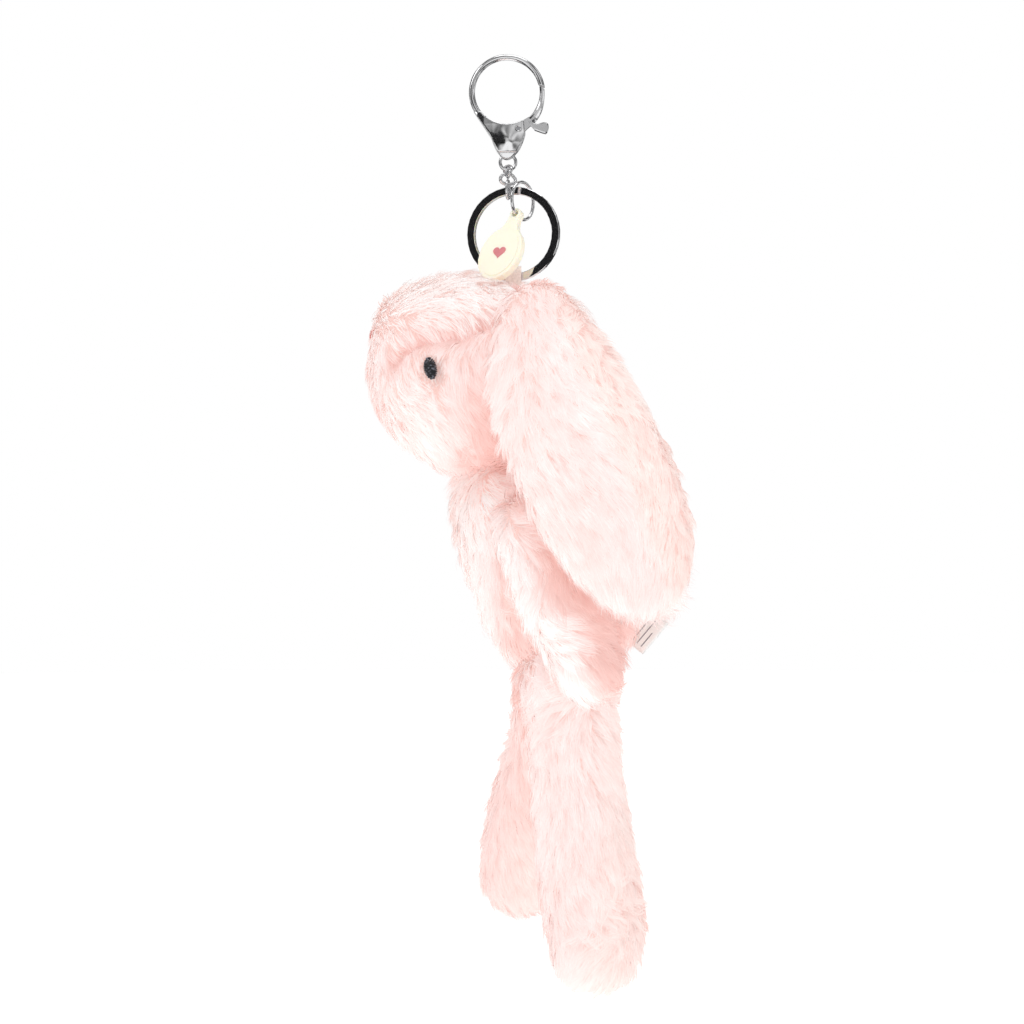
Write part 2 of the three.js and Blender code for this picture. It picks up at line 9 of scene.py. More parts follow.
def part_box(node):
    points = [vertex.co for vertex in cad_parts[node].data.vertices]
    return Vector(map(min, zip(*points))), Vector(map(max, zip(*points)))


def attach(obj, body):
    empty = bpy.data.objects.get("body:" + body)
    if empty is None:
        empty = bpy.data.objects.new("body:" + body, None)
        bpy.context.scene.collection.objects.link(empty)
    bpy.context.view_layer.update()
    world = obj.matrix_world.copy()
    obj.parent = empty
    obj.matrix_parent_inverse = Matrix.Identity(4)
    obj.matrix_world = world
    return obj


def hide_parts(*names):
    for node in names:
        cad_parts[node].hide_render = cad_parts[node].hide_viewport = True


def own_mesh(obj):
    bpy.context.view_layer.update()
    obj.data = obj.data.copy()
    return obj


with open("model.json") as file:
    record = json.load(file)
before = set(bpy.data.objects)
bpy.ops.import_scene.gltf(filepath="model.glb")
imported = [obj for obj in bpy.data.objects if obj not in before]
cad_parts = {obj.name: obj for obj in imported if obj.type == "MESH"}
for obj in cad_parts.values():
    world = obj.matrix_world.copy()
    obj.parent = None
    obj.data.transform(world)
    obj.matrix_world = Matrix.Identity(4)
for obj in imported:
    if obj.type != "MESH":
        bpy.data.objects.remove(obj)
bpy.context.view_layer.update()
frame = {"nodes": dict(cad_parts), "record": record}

# ---- Camera and studio ----
# The charm hangs from its clasp against a white ground, with its left side square to the camera.
# The lamps are broad and soft. Only mirror rays see the patchwork of greys and the black card,
# which give the polished metal its dark streaks.
MM = 0.001
scene = bpy.context.scene
scene.view_settings.view_transform = "Standard"
scene.view_settings.look = "None"

CAMERA_AWAY = 0.75
VIEW_HIGH = 0.3277  # height of the view at the charm
camera_data = bpy.data.cameras.new("camera")
camera_data.sensor_width = 36.0
camera_data.lens = 36.0 * CAMERA_AWAY / VIEW_HIGH
camera = bpy.data.objects.new("camera", camera_data)
camera.location = (CAMERA_AWAY, 0.0016, -0.1446)
camera.rotation_euler = (math.pi / 2, 0, math.pi / 2)
scene.collection.objects.link(camera)
scene.camera = camera

world = bpy.data.worlds.new("studio")
world.use_nodes = True
sky_nodes, sky_links = world.node_tree.nodes, world.node_tree.links
ground = sky_nodes["Background"]  # what the camera sees: plain white
ground.inputs["Color"].default_value = (1.0, 1.0, 1.0, 1)
ground.inputs["Strength"].default_value = 1.0
bounce = sky_nodes.new("ShaderNodeBackground")  # what lights the cloth from all round
bounce.inputs["Color"].default_value = (0.985, 0.98, 0.99, 1)
bounce.inputs["Strength"].default_value = 0.80
room = sky_nodes.new("ShaderNodeBackground")  # what polished metal mirrors: a patchwork
place = sky_nodes.new("ShaderNodeTexCoord")
patches = sky_nodes.new("ShaderNodeTexNoise")
patches.inputs["Scale"].default_value = 2.6
patches.inputs["Detail"].default_value = 0.0
patches.inputs["Distortion"].default_value = 0.6
turned = sky_nodes.new("ShaderNodeMapping")
turned.inputs["Location"].default_value = (0.35, 0.2, 0.55)
sky_links.new(place.outputs["Generated"], turned.inputs["Vector"])
sky_links.new(turned.outputs["Vector"], patches.inputs["Vector"])
patch_ramp = sky_nodes.new("ShaderNodeValToRGB")
patch_ramp.color_ramp.elements[0].position = 0.43
patch_ramp.color_ramp.elements[0].color = (0.02, 0.02, 0.022, 1)
patch_ramp.color_ramp.elements[1].position = 0.70
patch_ramp.color_ramp.elements[1].color = (1.0, 1.0, 1.0, 1)
for position, grey in ((0.49, 0.15), (0.55, 0.36), (0.61, 0.58)):
    stop = patch_ramp.color_ramp.elements.new(position)
    stop.color = (grey, grey, grey, 1)
sky_links.new(patches.outputs["Fac"], patch_ramp.inputs["Fac"])
sky_links.new(patch_ramp.outputs["Color"], room.inputs["Color"])
rays = sky_nodes.new("ShaderNodeLightPath")
lit = sky_nodes.new("ShaderNodeMixShader")
sky_links.new(rays.outputs["Is Diffuse Ray"], lit.inputs["Fac"])
sky_links.new(ground.outputs["Background"], lit.inputs[1])
sky_links.new(bounce.outputs["Background"], lit.inputs[2])
mirrored = sky_nodes.new("ShaderNodeMixShader")
sky_links.new(rays.outputs["Is Glossy Ray"], mirrored.inputs["Fac"])
sky_links.new(lit.outputs["Shader"], mirrored.inputs[1])
sky_links.new(room.outputs["Background"], mirrored.inputs[2])
sky_links.new(mirrored.outputs["Shader"], sky_nodes["World Output"].inputs["Surface"])
scene.world = world


def softbox(name, at, size, power, aim=(0, 0.01, -0.16)):
    """A round soft lamp, size across, of the power in watts, turned to the middle of the charm."""
    data = bpy.data.lights.new(name, "AREA")
    data.shape = "DISK"
    data.size = size
    data.energy = power
    lamp = bpy.data.objects.new(name, data)
    lamp.location = at
    lamp.rotation_euler = (Vector(aim) - Vector(at)).to_track_quat("-Z", "Y").to_euler()
    scene.collection.objects.link(lamp)


softbox("key_light", (0.8, -0.95, 0.75), size=0.7, power=2.6)
softbox("top_light", (0.1, 0.1, 1.1), size=0.9, power=3.6)
softbox("fill_light", (0.9, 1.1, -0.2), size=1.0, power=0.8)
softbox("back_light", (-1.0, -0.2, 0.3), size=1.0, power=1.5)


def plain_material(name, colour, roughness=0.9):
    made = bpy.data.materials.new(name)
    made.use_nodes = True
    shader = made.node_tree.nodes["Principled BSDF"]
    shader.inputs["Base Color"].default_value = (*colour, 1)
    shader.inputs["Roughness"].default_value = roughness
    return made


def card(name, centre, wide, tall, facing, colour):
    """A flat studio card, facing the point given, that only mirror reflections see."""
    mesh = bpy.data.meshes.new(name)
    w, t = wide / 2, tall / 2
    mesh.from_pydata([(-w, -t, 0), (w, -t, 0), (w, t, 0), (-w, t, 0)], [], [(0, 1, 2, 3)])
    made = bpy.data.objects.new(name, mesh)
    made.location = centre
    made.rotation_euler = (Vector(facing) - Vector(centre)).to_track_quat("Z", "Y").to_euler()
    mesh.materials.append(plain_material(name, colour))
    for ray in ("camera", "diffuse", "shadow", "transmission", "volume_scatter"):
        setattr(made, f"visible_{ray}", False)
    scene.collection.objects.link(made)


RING_AT = (0, 0.002, -0.055)
card("black_card", (0.58, -0.30, 0.0), wide=0.34, tall=0.24, facing=RING_AT,
     colour=(0.004, 0.004, 0.005))

FLOOR_Z = -0.60
FLOOR_RADIUS = 6
floor_mesh = bpy.data.meshes.new("studio_floor")
rim = [(FLOOR_RADIUS * math.cos(a), FLOOR_RADIUS * math.sin(a), FLOOR_Z)
       for a in np.linspace(0, 2 * math.pi, 65)[:-1]]
floor_mesh.from_pydata(rim, [], [tuple(range(len(rim)))])
floor = bpy.data.objects.new("studio_floor", floor_mesh)
floor_finish = plain_material("studio_floor", (0.93, 0.925, 0.92))
floor_shader = floor_finish.node_tree.nodes["Principled BSDF"]
floor_shader.inputs["Emission Color"].default_value = (1, 0.995, 0.99, 1)
floor_shader.inputs["Emission Strength"].default_value = 0.55
floor_mesh.materials.append(floor_finish)
floor.visible_glossy = False  # the metal mirrors the patchwork there instead
scene.collection.objects.link(floor)


# ---- Clasp, chain and rings ----
# Zinc castings and steel wire, polished and bright plated. The links are bent shut one through
# the next. The plating keeps faint waves and fine rub marks, so it is not quite even.
def finish_node(node, material):
    """Gives a CAD piece one finish all over."""
    piece = frame["nodes"][node]
    piece.data.materials.clear()
    piece.data.materials.append(material)


def metal(name, colour, roughness, wave, rub_scale):
    """Plated or bare metal: rub marks vary its roughness, and wave is how far it ripples."""
    made = bpy.data.materials.new(name)
    made.use_nodes = True
    nodes, links = made.node_tree.nodes, made.node_tree.links
    shader = nodes["Principled BSDF"]
    shader.inputs["Metallic"].default_value = 1.0
    shader.inputs["Base Color"].default_value = (*colour, 1)
    place = nodes.new("ShaderNodeTexCoord")
    rub = nodes.new("ShaderNodeTexNoise")
    rub.inputs["Scale"].default_value = rub_scale
    rub.inputs["Detail"].default_value = 6
    links.new(place.outputs["Object"], rub.inputs["Vector"])
    spread = nodes.new("ShaderNodeMapRange")
    spread.inputs["From Min"].default_value = 0.3
    spread.inputs["From Max"].default_value = 0.75
    spread.inputs["To Min"].default_value = roughness * 0.7
    spread.inputs["To Max"].default_value = roughness * 1.6
    links.new(rub.outputs["Fac"], spread.inputs["Value"])
    links.new(spread.outputs["Result"], shader.inputs["Roughness"])
    ripple = nodes.new("ShaderNodeTexNoise")
    ripple.inputs["Scale"].default_value = 420
    links.new(place.outputs["Object"], ripple.inputs["Vector"])
    bump = nodes.new("ShaderNodeBump")
    bump.inputs["Strength"].default_value = wave
    bump.inputs["Distance"].default_value = 0.0002
    links.new(ripple.outputs["Fac"], bump.inputs["Height"])
    links.new(bump.outputs["Normal"], shader.inputs["Normal"])
    return made


plating = metal("bright_plating", (0.86, 0.86, 0.87), roughness=0.10, wave=0.02, rub_scale=900)
ring_plating = metal("ring_plating", (0.82, 0.82, 0.83), roughness=0.05, wave=0.01, rub_scale=700)
spring_steel = metal("spring_steel", (0.52, 0.53, 0.55), roughness=0.30, wave=0.2, rub_scale=1500)
finish_node("clasp_trigger", plating)


def tumbled(name, node, voxel, smoothing, dome):
    """A metal piece after its barrel polish: edges rounded, and the surface moved out by dome."""
    made = bpy.data.objects.new(name, frame["nodes"][node].data.copy())
    scene.collection.objects.link(made)
    made.data.materials.clear()
    remesh = made.modifiers.new("remesh", "REMESH")
    remesh.mode = "VOXEL"
    remesh.voxel_size = voxel
    smooth = made.modifiers.new("smooth", "SMOOTH")
    smooth.iterations = smoothing
    smooth.factor = 0.5
    bake_down(made)
    push(made, dome)
    made.data.materials.append(plating)
    return made


def bake_down(piece):
    """Applies a piece's modifiers to its mesh."""
    graph = bpy.context.evaluated_depsgraph_get()
    mesh = bpy.data.meshes.new_from_object(piece.evaluated_get(graph))
    piece.modifiers.clear()
    piece.data = mesh
    mesh.name = piece.name


def points_of(mesh):
    """A mesh's points and the outward direction at each."""
    co = np.empty(len(mesh.vertices) * 3)
    mesh.vertices.foreach_get("co", co)
    out = np.empty(len(mesh.vertices) * 3)
    mesh.vertices.foreach_get("normal", out)
    return co.reshape(-1, 3), out.reshape(-1, 3)


def push(piece, amount):
    """Moves a piece's skin along its own outward direction by amount(points, outward)."""
    co, out = points_of(piece.data)
    co = co + out * amount(co, out)[:, None]
    piece.data.vertices.foreach_set("co", co.ravel())
    piece.data.update()
    for polygon in piece.data.polygons:
        polygon.use_smooth = True


BODY_Y, BODY_Z = 0.4 * MM, -26.0 * MM  # the middle of the clasp's body
BODY_HALF_WIDE, BODY_HALF_HIGH = 4.6 * MM, 5.2 * MM
BODY_DOME = 0.9 * MM
CASTING_PLATE = 0.12 * MM


def body_dome(points, out):
    """The plating all over, and the dome on both cheeks of the body, highest at its middle."""
    across = (points[:, 1] - BODY_Y) / BODY_HALF_WIDE
    up = (points[:, 2] - BODY_Z) / BODY_HALF_HIGH
    dome = BODY_DOME * np.exp(-1.6 * (across ** 2 + up ** 2)) * np.abs(out[:, 0])
    return dome + CASTING_PLATE


clasp_casting = tumbled("clasp_casting", "clasp_frame", voxel=0.16 * MM, smoothing=8,
                        dome=body_dome)
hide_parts("clasp_frame")
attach(clasp_casting, "clasp")

# The gate's spring is wound from steel wire. It shortens as the gate's tail presses on it.
gate_spring = bpy.data.objects.new("gate_spring", frame["nodes"]["clasp_spring"].data.copy())
scene.collection.objects.link(gate_spring)
gate_spring.data.materials.clear()
gate_spring.data.materials.append(spring_steel)
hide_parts("clasp_spring")
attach(gate_spring, "clasp")
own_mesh(gate_spring)

# The wire of the small links and of the tag's ring, a little fatter than its CAD, with soft edges.
for node, body, plate in (("chain_link_1", "link_1", 0.10), ("chain_link_2", "link_2", 0.16),
                          ("chain_link_3", "link_3", 0.12), ("chain_link_4", "link_4", 0.05),
                          ("tag_jump_ring", "tag_ring", 0.16)):
    wire = tumbled(f"{node}_wire", node, voxel=0.11 * MM, smoothing=3,
                   dome=lambda points, out: np.full(len(points), plate * MM))
    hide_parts(node)
    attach(wire, body)
finish_node("split_ring", ring_plating)
finish_node("clasp_pivot_pin", spring_steel)


# ---- Tag ----
# A moulded ivory plastic oval with a raised face, printed with a plain heart in rose ink. It
# hangs by the lug at its top from the jump ring.
def moulded(name, colour, roughness, mottle):
    """Plastic or ink that light sinks into a little, faintly cloudy by mottle."""
    made = bpy.data.materials.new(name)
    made.use_nodes = True
    nodes, links = made.node_tree.nodes, made.node_tree.links
    shader = nodes["Principled BSDF"]
    shader.inputs["Roughness"].default_value = roughness
    shader.inputs["Subsurface Weight"].default_value = 0.25
    shader.inputs["Subsurface Radius"].default_value = (0.002, 0.0014, 0.0008)
    shader.inputs["Subsurface Scale"].default_value = 1.0
    place = nodes.new("ShaderNodeTexCoord")
    cloud = nodes.new("ShaderNodeTexNoise")
    cloud.inputs["Scale"].default_value = 260
    cloud.inputs["Detail"].default_value = 4
    links.new(place.outputs["Object"], cloud.inputs["Vector"])
    ramp = nodes.new("ShaderNodeValToRGB")
    ramp.color_ramp.elements[0].color = (*[c * (1 - mottle) for c in colour], 1)
    ramp.color_ramp.elements[1].color = (*colour, 1)
    links.new(cloud.outputs["Fac"], ramp.inputs["Fac"])
    links.new(ramp.outputs["Color"], shader.inputs["Base Color"])
    bump = nodes.new("ShaderNodeBump")
    bump.inputs["Strength"].default_value = 0.06
    bump.inputs["Distance"].default_value = 0.0002
    links.new(cloud.outputs["Fac"], bump.inputs["Height"])
    links.new(bump.outputs["Normal"], shader.inputs["Normal"])
    return made


ivory = moulded("ivory_plastic", (0.96, 0.92, 0.76), roughness=0.35, mottle=0.04)
rose_ink = moulded("rose_ink", (0.80, 0.24, 0.26), roughness=0.55, mottle=0.18)
finish_node("tag_disc", ivory)

tag_mount = next(m for m in frame["record"]["mounts"] if m["name"] == "tag_face")
tag_out = Vector(tag_mount["axis"]).normalized()
tag_centre = Vector(tag_mount["pos_m"])
tag_up = (Vector((0, 0, 1)) - tag_out * tag_out.z).normalized()
tag_across = tag_up.cross(tag_out).normalized()
HEART_HIGH = 4.6 * MM
HEART_THICK = 0.12 * MM


def heart():
    """The printed mark: a heart outline filled flat, with a little thickness of ink."""
    outline = []
    for a in np.linspace(0, 2 * math.pi, 49)[:-1]:
        across = math.sin(a) ** 3
        up = (13 * math.cos(a) - 5 * math.cos(2 * a) - 2 * math.cos(3 * a) - math.cos(4 * a)) / 16
        outline.append((across * 0.5 * HEART_HIGH, up * 0.5 * HEART_HIGH))
    points = []
    for level in (-HEART_THICK, HEART_THICK):
        for across, up in outline:
            points.append(tag_centre + tag_across * across + tag_up * up + tag_out * level)
    n = len(outline)
    faces = [tuple(reversed(range(n))), tuple(range(n, 2 * n))]
    faces += [(i, (i + 1) % n, n + (i + 1) % n, n + i) for i in range(n)]
    mesh = bpy.data.meshes.new("tag_heart")
    mesh.from_pydata(points, [], faces)
    mesh.materials.append(rose_ink)
    made = bpy.data.objects.new("tag_heart", mesh)
    scene.collection.objects.link(made)
    return made


tag_heart = heart()
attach(tag_heart, "tag")


# ---- Head ----
# Long-pile plush over a firm ball of fibre filling. A fold runs from the ear to the side of the
# muzzle, above the eye. The pile lies back and down, in soft locks. Its colour carries painted
# shade, a deeper pink in the creases, and a painted highlight over the crown.
def stuffed_skin(name, node, swell, voxel=2.2 * MM, smoothing=8):
    """The backing cloth of a stuffed piece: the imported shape, rounded as its filling rounds it."""
    made = bpy.data.objects.new(name, frame["nodes"][node].data.copy())
    scene.collection.objects.link(made)
    made.data.materials.clear()
    remesh = made.modifiers.new("remesh", "REMESH")
    remesh.mode = "VOXEL"
    remesh.voxel_size = voxel
    smooth = made.modifiers.new("smooth", "SMOOTH")
    smooth.iterations = smoothing
    smooth.factor = 0.5
    bake_down(made)
    push(made, lambda co, out: np.full(len(co), swell))
    return made


def linear(red, green, blue):
    """A colour given as it looks on paper, 0 to 255, as light."""
    return np.array([((c / 255 + 0.055) / 1.055) ** 2.4 for c in (red, green, blue)])


def fade(value, start, end):
    """0 before start, 1 after end, and smooth between; start may be the greater."""
    t = np.clip((value - start) / (end - start), 0, 1)
    return t * t * (3 - 2 * t)


def mix(first, second, share):
    """From the first colour towards the second, by one share or a share for each point."""
    return first + (second - first) * np.reshape(share, (-1, 1))


def unit(v):
    """Directions at length 1."""
    return v / np.maximum(np.linalg.norm(v, axis=1), 1e-9)[:, None]


def wander(points, size, seed):
    """A smooth vector field that turns over about size, as the lie of brushed pile does."""
    rng = np.random.default_rng(seed)
    total = np.zeros((len(points), 3))
    for _ in range(5):
        way = rng.normal(size=(3, 3)) / size
        total += np.sin(points @ way + rng.uniform(0, 2 * math.pi, 3)) / 2.2
    return total


def patchy(points, size, seed, level=0.5):
    """Soft patches of about size, from 0 to 1, with level as their mean."""
    return np.clip(level + 0.5 * wander(points, size, seed)[:, 0], 0, 1)


def scatter(skin, count, rng):
    """Points spread evenly over a skin, and the outward direction at each."""
    mesh = skin.data
    mesh.calc_loop_triangles()
    corners = np.empty(len(mesh.loop_triangles) * 3, np.int32)
    mesh.loop_triangles.foreach_get("vertices", corners)
    corners = corners.reshape(-1, 3)
    co, out = points_of(mesh)
    a, b, c = (co[corners[:, k]] for k in range(3))
    area = np.linalg.norm(np.cross(b - a, c - a), axis=1)
    pick = rng.choice(len(corners), count, p=area / area.sum())
    u, v = rng.random(count), rng.random(count)
    over = u + v > 1
    u[over], v[over] = 1 - u[over], 1 - v[over]
    share = np.stack([1 - u - v, u, v], 1)[:, :, None]
    return (co[corners[pick]] * share).sum(1), unit((out[corners[pick]] * share).sum(1))


def along(way, out):
    """The part of a direction that lies along the skin."""
    return unit(way - out * (way * out).sum(1)[:, None])


ALONG = (0.0, 0.36, 0.70, 1.0)  # where a fibre's points are, root to tip
TAPER = (1.0, 0.85, 0.55)  # its width at each but the tip
FIBRE_FACES = ((0, 1, 3, 2), (2, 3, 5, 4), (4, 5, 6))
FIBRE_POINTS = 2 * len(TAPER) + 1
FIBRE_CORNERS = sum(len(face) for face in FIBRE_FACES)
ROOT_DEEP = 0.3 * MM  # how far a fibre starts under the skin
# Painted shade: how much a fibre's colour is deepened at its root, for the shade between fibres.
ROOT_SHADE = np.array([0.98, 0.86, 0.84])


def pile(name, skin, count, length, comb, tint, material, seed, lift=0.27, clump=0.35,
         reach=None, width=0.32 * MM, stray=0.2):
    """Long pile on a skin: flat tapered fibres gathered in locks, as one mesh.
    comb gives the way it is brushed, tint its colour, and reach a share of the full length.
    lift is how far it stands up, clump how close a lock gathers, stray how far it wanders."""
    rng = np.random.default_rng(seed)
    roots, out = scatter(skin, count, rng)
    locks, lock_out = scatter(skin, max(20, count // 16), rng)
    tree = kdtree.KDTree(len(locks))
    for i, point in enumerate(locks):
        tree.insert(point, i)
    tree.balance()
    lock = np.array([tree.find(point)[1] for point in roots])

    lock_way = along(comb(locks, lock_out) + rng.normal(size=locks.shape) * stray, lock_out)
    lock_long = length * rng.uniform(0.8, 1.2, len(locks))
    lock_lift = lift * rng.uniform(0.65, 1.35, len(locks))
    if reach is not None:
        lock_long = lock_long * reach(locks)
    lock_tip = locks + lock_way * lock_long[:, None]
    lock_tip += lock_out * (lock_long * lock_lift)[:, None]

    way = along(lock_way[lock] + rng.normal(size=roots.shape) * stray * 0.6, out)
    longs = lock_long[lock] * rng.uniform(0.6, 1.12, count)
    lifts = lock_lift[lock] * rng.uniform(0.7, 1.3, count)
    if reach is not None:
        longs = np.minimum(longs, length * 1.2 * reach(roots))
    tips = roots + way * (longs * 0.93)[:, None] + out * (longs * lifts)[:, None]
    pull = (clump * rng.uniform(0.5, 1.2, count))[:, None]
    tips += (lock_tip[lock] - tips) * pull
    bend = roots + out * (longs * (0.18 + lifts * 0.75))[:, None] + way * (longs * 0.30)[:, None]
    start = roots - out * ROOT_DEEP

    spine = [start * (1 - t) ** 2 + bend * (2 * t * (1 - t)) + tips * t ** 2 for t in ALONG]
    run = unit(tips - start)
    twist = rng.normal(size=count)[:, None] * 0.45
    side = unit(np.cross(run, out))
    side = unit(side * np.cos(twist) + np.cross(side, run) * np.sin(twist))
    half = width * rng.uniform(0.7, 1.25, count)[:, None] / 2
    points = []
    for middle, share in zip(spine, TAPER):
        points += [middle - side * half * share, middle + side * half * share]
    points.append(spine[-1])
    co = np.stack(points, 1).reshape(-1, 3)

    mesh = bpy.data.meshes.new(name)
    mesh.vertices.add(count * FIBRE_POINTS)
    mesh.vertices.foreach_set("co", co.astype(np.float32).ravel())
    corners = (np.arange(count) * FIBRE_POINTS)[:, None] + np.concatenate(FIBRE_FACES)
    mesh.loops.add(count * FIBRE_CORNERS)
    mesh.loops.foreach_set("vertex_index", corners.ravel().astype(np.int32))
    mesh.polygons.add(count * len(FIBRE_FACES))
    within = np.cumsum([0] + [len(face) for face in FIBRE_FACES[:-1]])
    starts = (np.arange(count) * FIBRE_CORNERS)[:, None] + within
    mesh.polygons.foreach_set("loop_start", starts.ravel().astype(np.int32))
    mesh.update(calc_edges=True)
    mesh.polygons.foreach_set("use_smooth", np.ones(len(mesh.polygons), bool))

    # The fibres catch the light together, as the nap's own surface does.
    leaf = unit(np.cross(side, run))
    shine = unit(out * 0.8 + leaf * 0.35 + rng.normal(size=out.shape) * 0.10)
    mesh.normals_split_custom_set_from_vertices(np.repeat(shine, FIBRE_POINTS, axis=0))

    # Colour: the zone's tint, painted shade towards the root, and a little different from lock to
    # lock.
    colour = tint(roots, out)
    lock_tone = rng.normal(size=len(locks))[lock] * 0.03 + rng.normal(size=count) * 0.025
    colour = np.clip(colour * (1 + lock_tone[:, None] * np.array([0.5, 1.0, 1.1])), 0, 0.97)
    steps = []
    for t in (0, 0, ALONG[1], ALONG[1], ALONG[2], ALONG[2], 1):
        share = fade(np.array(t), 0.0, 0.8)
        steps.append(colour * (ROOT_SHADE + (1 - ROOT_SHADE) * share))
    rgba = np.ones((count * FIBRE_POINTS, 4), np.float32)
    rgba[:, :3] = np.stack(steps, 1).reshape(-1, 3)
    mesh.attributes.new("pile_tint_and_shade", "FLOAT_COLOR", "POINT").data.foreach_set("color", rgba.ravel())

    # Each fibre has a cell of its own in the map.
    cells = math.ceil(math.sqrt(count))
    cell = np.stack([np.arange(count) % cells, np.arange(count) // cells], 1) / cells
    inside = np.array([[0.2, 0.1], [0.8, 0.1], [0.8, 0.4], [0.2, 0.4], [0.2, 0.4], [0.8, 0.4],
                       [0.8, 0.7], [0.2, 0.7], [0.2, 0.7], [0.8, 0.7], [0.5, 0.92]]) / cells
    uv = (cell[:, None, :] + inside[None, :, :]).reshape(-1, 2)
    mesh.uv_layers.new(name="OFBake").data.foreach_set("uv", uv.astype(np.float32).ravel())
    mesh.materials.append(material)
    made = bpy.data.objects.new(name, mesh)
    # A stand-in for the light that scatters through pale fibres: the pile is left out of shadow
    # rays and bounce rays, so that the gaps between its locks stay pale.
    made.visible_shadow = False
    made.visible_diffuse = False
    scene.collection.objects.link(made)
    return made


def pile_material(name):
    """Brushed polyester pile: the fibres carry its colour, with a faint mottle and sheen."""
    made = bpy.data.materials.new(name)
    made.use_nodes = True
    nodes, links = made.node_tree.nodes, made.node_tree.links
    shader = nodes["Principled BSDF"]
    shader.inputs["Roughness"].default_value = 0.8
    shader.inputs["Specular IOR Level"].default_value = 0.2
    shader.inputs["Sheen Weight"].default_value = 0.25
    shader.inputs["Sheen Roughness"].default_value = 0.5
    shader.inputs["Sheen Tint"].default_value = (1.0, 0.93, 0.90, 1)
    # The fibres' colour carries painted shade at the roots and in the creases.
    tone = nodes.new("ShaderNodeAttribute")
    tone.attribute_name = "pile_tint_and_shade"
    place = nodes.new("ShaderNodeTexCoord")
    mottle = nodes.new("ShaderNodeTexNoise")
    mottle.inputs["Scale"].default_value = 140
    mottle.inputs["Detail"].default_value = 3
    links.new(place.outputs["Object"], mottle.inputs["Vector"])
    ramp = nodes.new("ShaderNodeValToRGB")
    ramp.color_ramp.elements[0].position = 0.3
    ramp.color_ramp.elements[0].color = (0.97, 0.93, 0.92, 1)
    ramp.color_ramp.elements[1].position = 0.7
    ramp.color_ramp.elements[1].color = (1, 1, 1, 1)
    links.new(mottle.outputs["Fac"], ramp.inputs["Fac"])
    blend = nodes.new("ShaderNodeMix")
    blend.data_type = "RGBA"
    blend.blend_type = "MULTIPLY"
    blend.inputs["Factor"].default_value = 1.0
    links.new(tone.outputs["Color"], blend.inputs["A"])
    links.new(ramp.outputs["Color"], blend.inputs["B"])
    links.new(blend.outputs["Result"], shader.inputs["Base Color"])
    return made


def backing_material(name, colour):
    """The knitted backing that shows between the locks: fine loops in the pile's deeper tone."""
    made = bpy.data.materials.new(name)
    made.use_nodes = True
    nodes, links = made.node_tree.nodes, made.node_tree.links
    shader = nodes["Principled BSDF"]
    shader.inputs["Roughness"].default_value = 0.95
    shader.inputs["Sheen Weight"].default_value = 0.3
    place = nodes.new("ShaderNodeTexCoord")
    loops = nodes.new("ShaderNodeTexVoronoi")
    loops.inputs["Scale"].default_value = 1400
    links.new(place.outputs["Object"], loops.inputs["Vector"])
    ramp = nodes.new("ShaderNodeValToRGB")
    ramp.color_ramp.elements[0].color = (*(colour * 0.86), 1)
    ramp.color_ramp.elements[1].color = (*colour, 1)
    links.new(loops.outputs["Distance"], ramp.inputs["Fac"])
    links.new(ramp.outputs["Color"], shader.inputs["Base Color"])
    bump = nodes.new("ShaderNodeBump")
    bump.inputs["Strength"].default_value = 0.5
    bump.inputs["Distance"].default_value = 0.0004
    links.new(loops.outputs["Distance"], bump.inputs["Height"])
    links.new(bump.outputs["Normal"], shader.inputs["Normal"])
    return made


# DEEP_PILE and ROSE_PILE are laid on mostly as painted shade, and WHITE_PILE partly as painted
# highlight.
WHITE_PILE = linear(255, 249, 247)
PALE_PILE = linear(254, 243, 241)
PINK_PILE = linear(253, 236, 233)
DEEP_PILE = linear(248, 212, 205)
ROSE_PILE = linear(234, 172, 162)
PEACH_PILE = linear(254, 237, 229)
brushed_pile = pile_material("brushed_pile")
# The backing is a deeper pink than the pile: partly its own colour, partly painted shade for the
# gaps between the locks.
backing = backing_material("pile_backing", linear(248, 206, 197))

FIBRES = 1.0
EYE_AT = Vector((25.9, -23.4, -100.4)) * MM
nose_low, nose_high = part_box("nose")
NOSE_AT = Vector((0, nose_low.y + 0.4 * MM, (nose_low.z + nose_high.z) / 2))
# The fold over the eye, in the side view, from the ear to the muzzle: y and z.
FOLD = np.array([(0, -83.4), (-8.6, -86.7), (-11.8, -89.0), (-19.2, -89.9), (-27.8, -91.2),
                 (-31.7, -93.0), (-35.5, -97.3)]) * MM
FOLD_DEEP = 3.4 * MM
SOCKET_DEEP = 1.6 * MM
CROWN_DEEP = 3.6 * MM
CROWN_AT = np.array((4, 2, -72)) * MM
CROWN_REACH = np.array((13, 11, 8)) * MM


def from_path(points, path):
    """How far each point is from a path in the side view, and on which side of it."""
    flat = points[:, 1:]
    best = np.full(len(points), 1e9)
    above = np.zeros(len(points))
    for a, b in zip(path[:-1], path[1:]):
        step = b - a
        t = np.clip(((flat - a) @ step) / (step @ step), 0, 1)
        away = flat - (a + t[:, None] * step)
        far = np.linalg.norm(away, axis=1)
        nearer = far < best
        best = np.where(nearer, far, best)
        above = np.where(nearer, away[:, 1], above)
    return best, above


def eye_distance(points):
    """How far each point is from the eye on its own side."""
    mirrored = points.copy()
    mirrored[:, 0] = np.abs(mirrored[:, 0])
    return np.linalg.norm((mirrored - np.array(EYE_AT)) * np.array([0.6, 1, 0.8]), axis=1)


def on_side(points):
    """1 on the sides of the head and 0 down its middle."""
    return fade(np.abs(points[:, 0]), 12 * MM, 19 * MM)


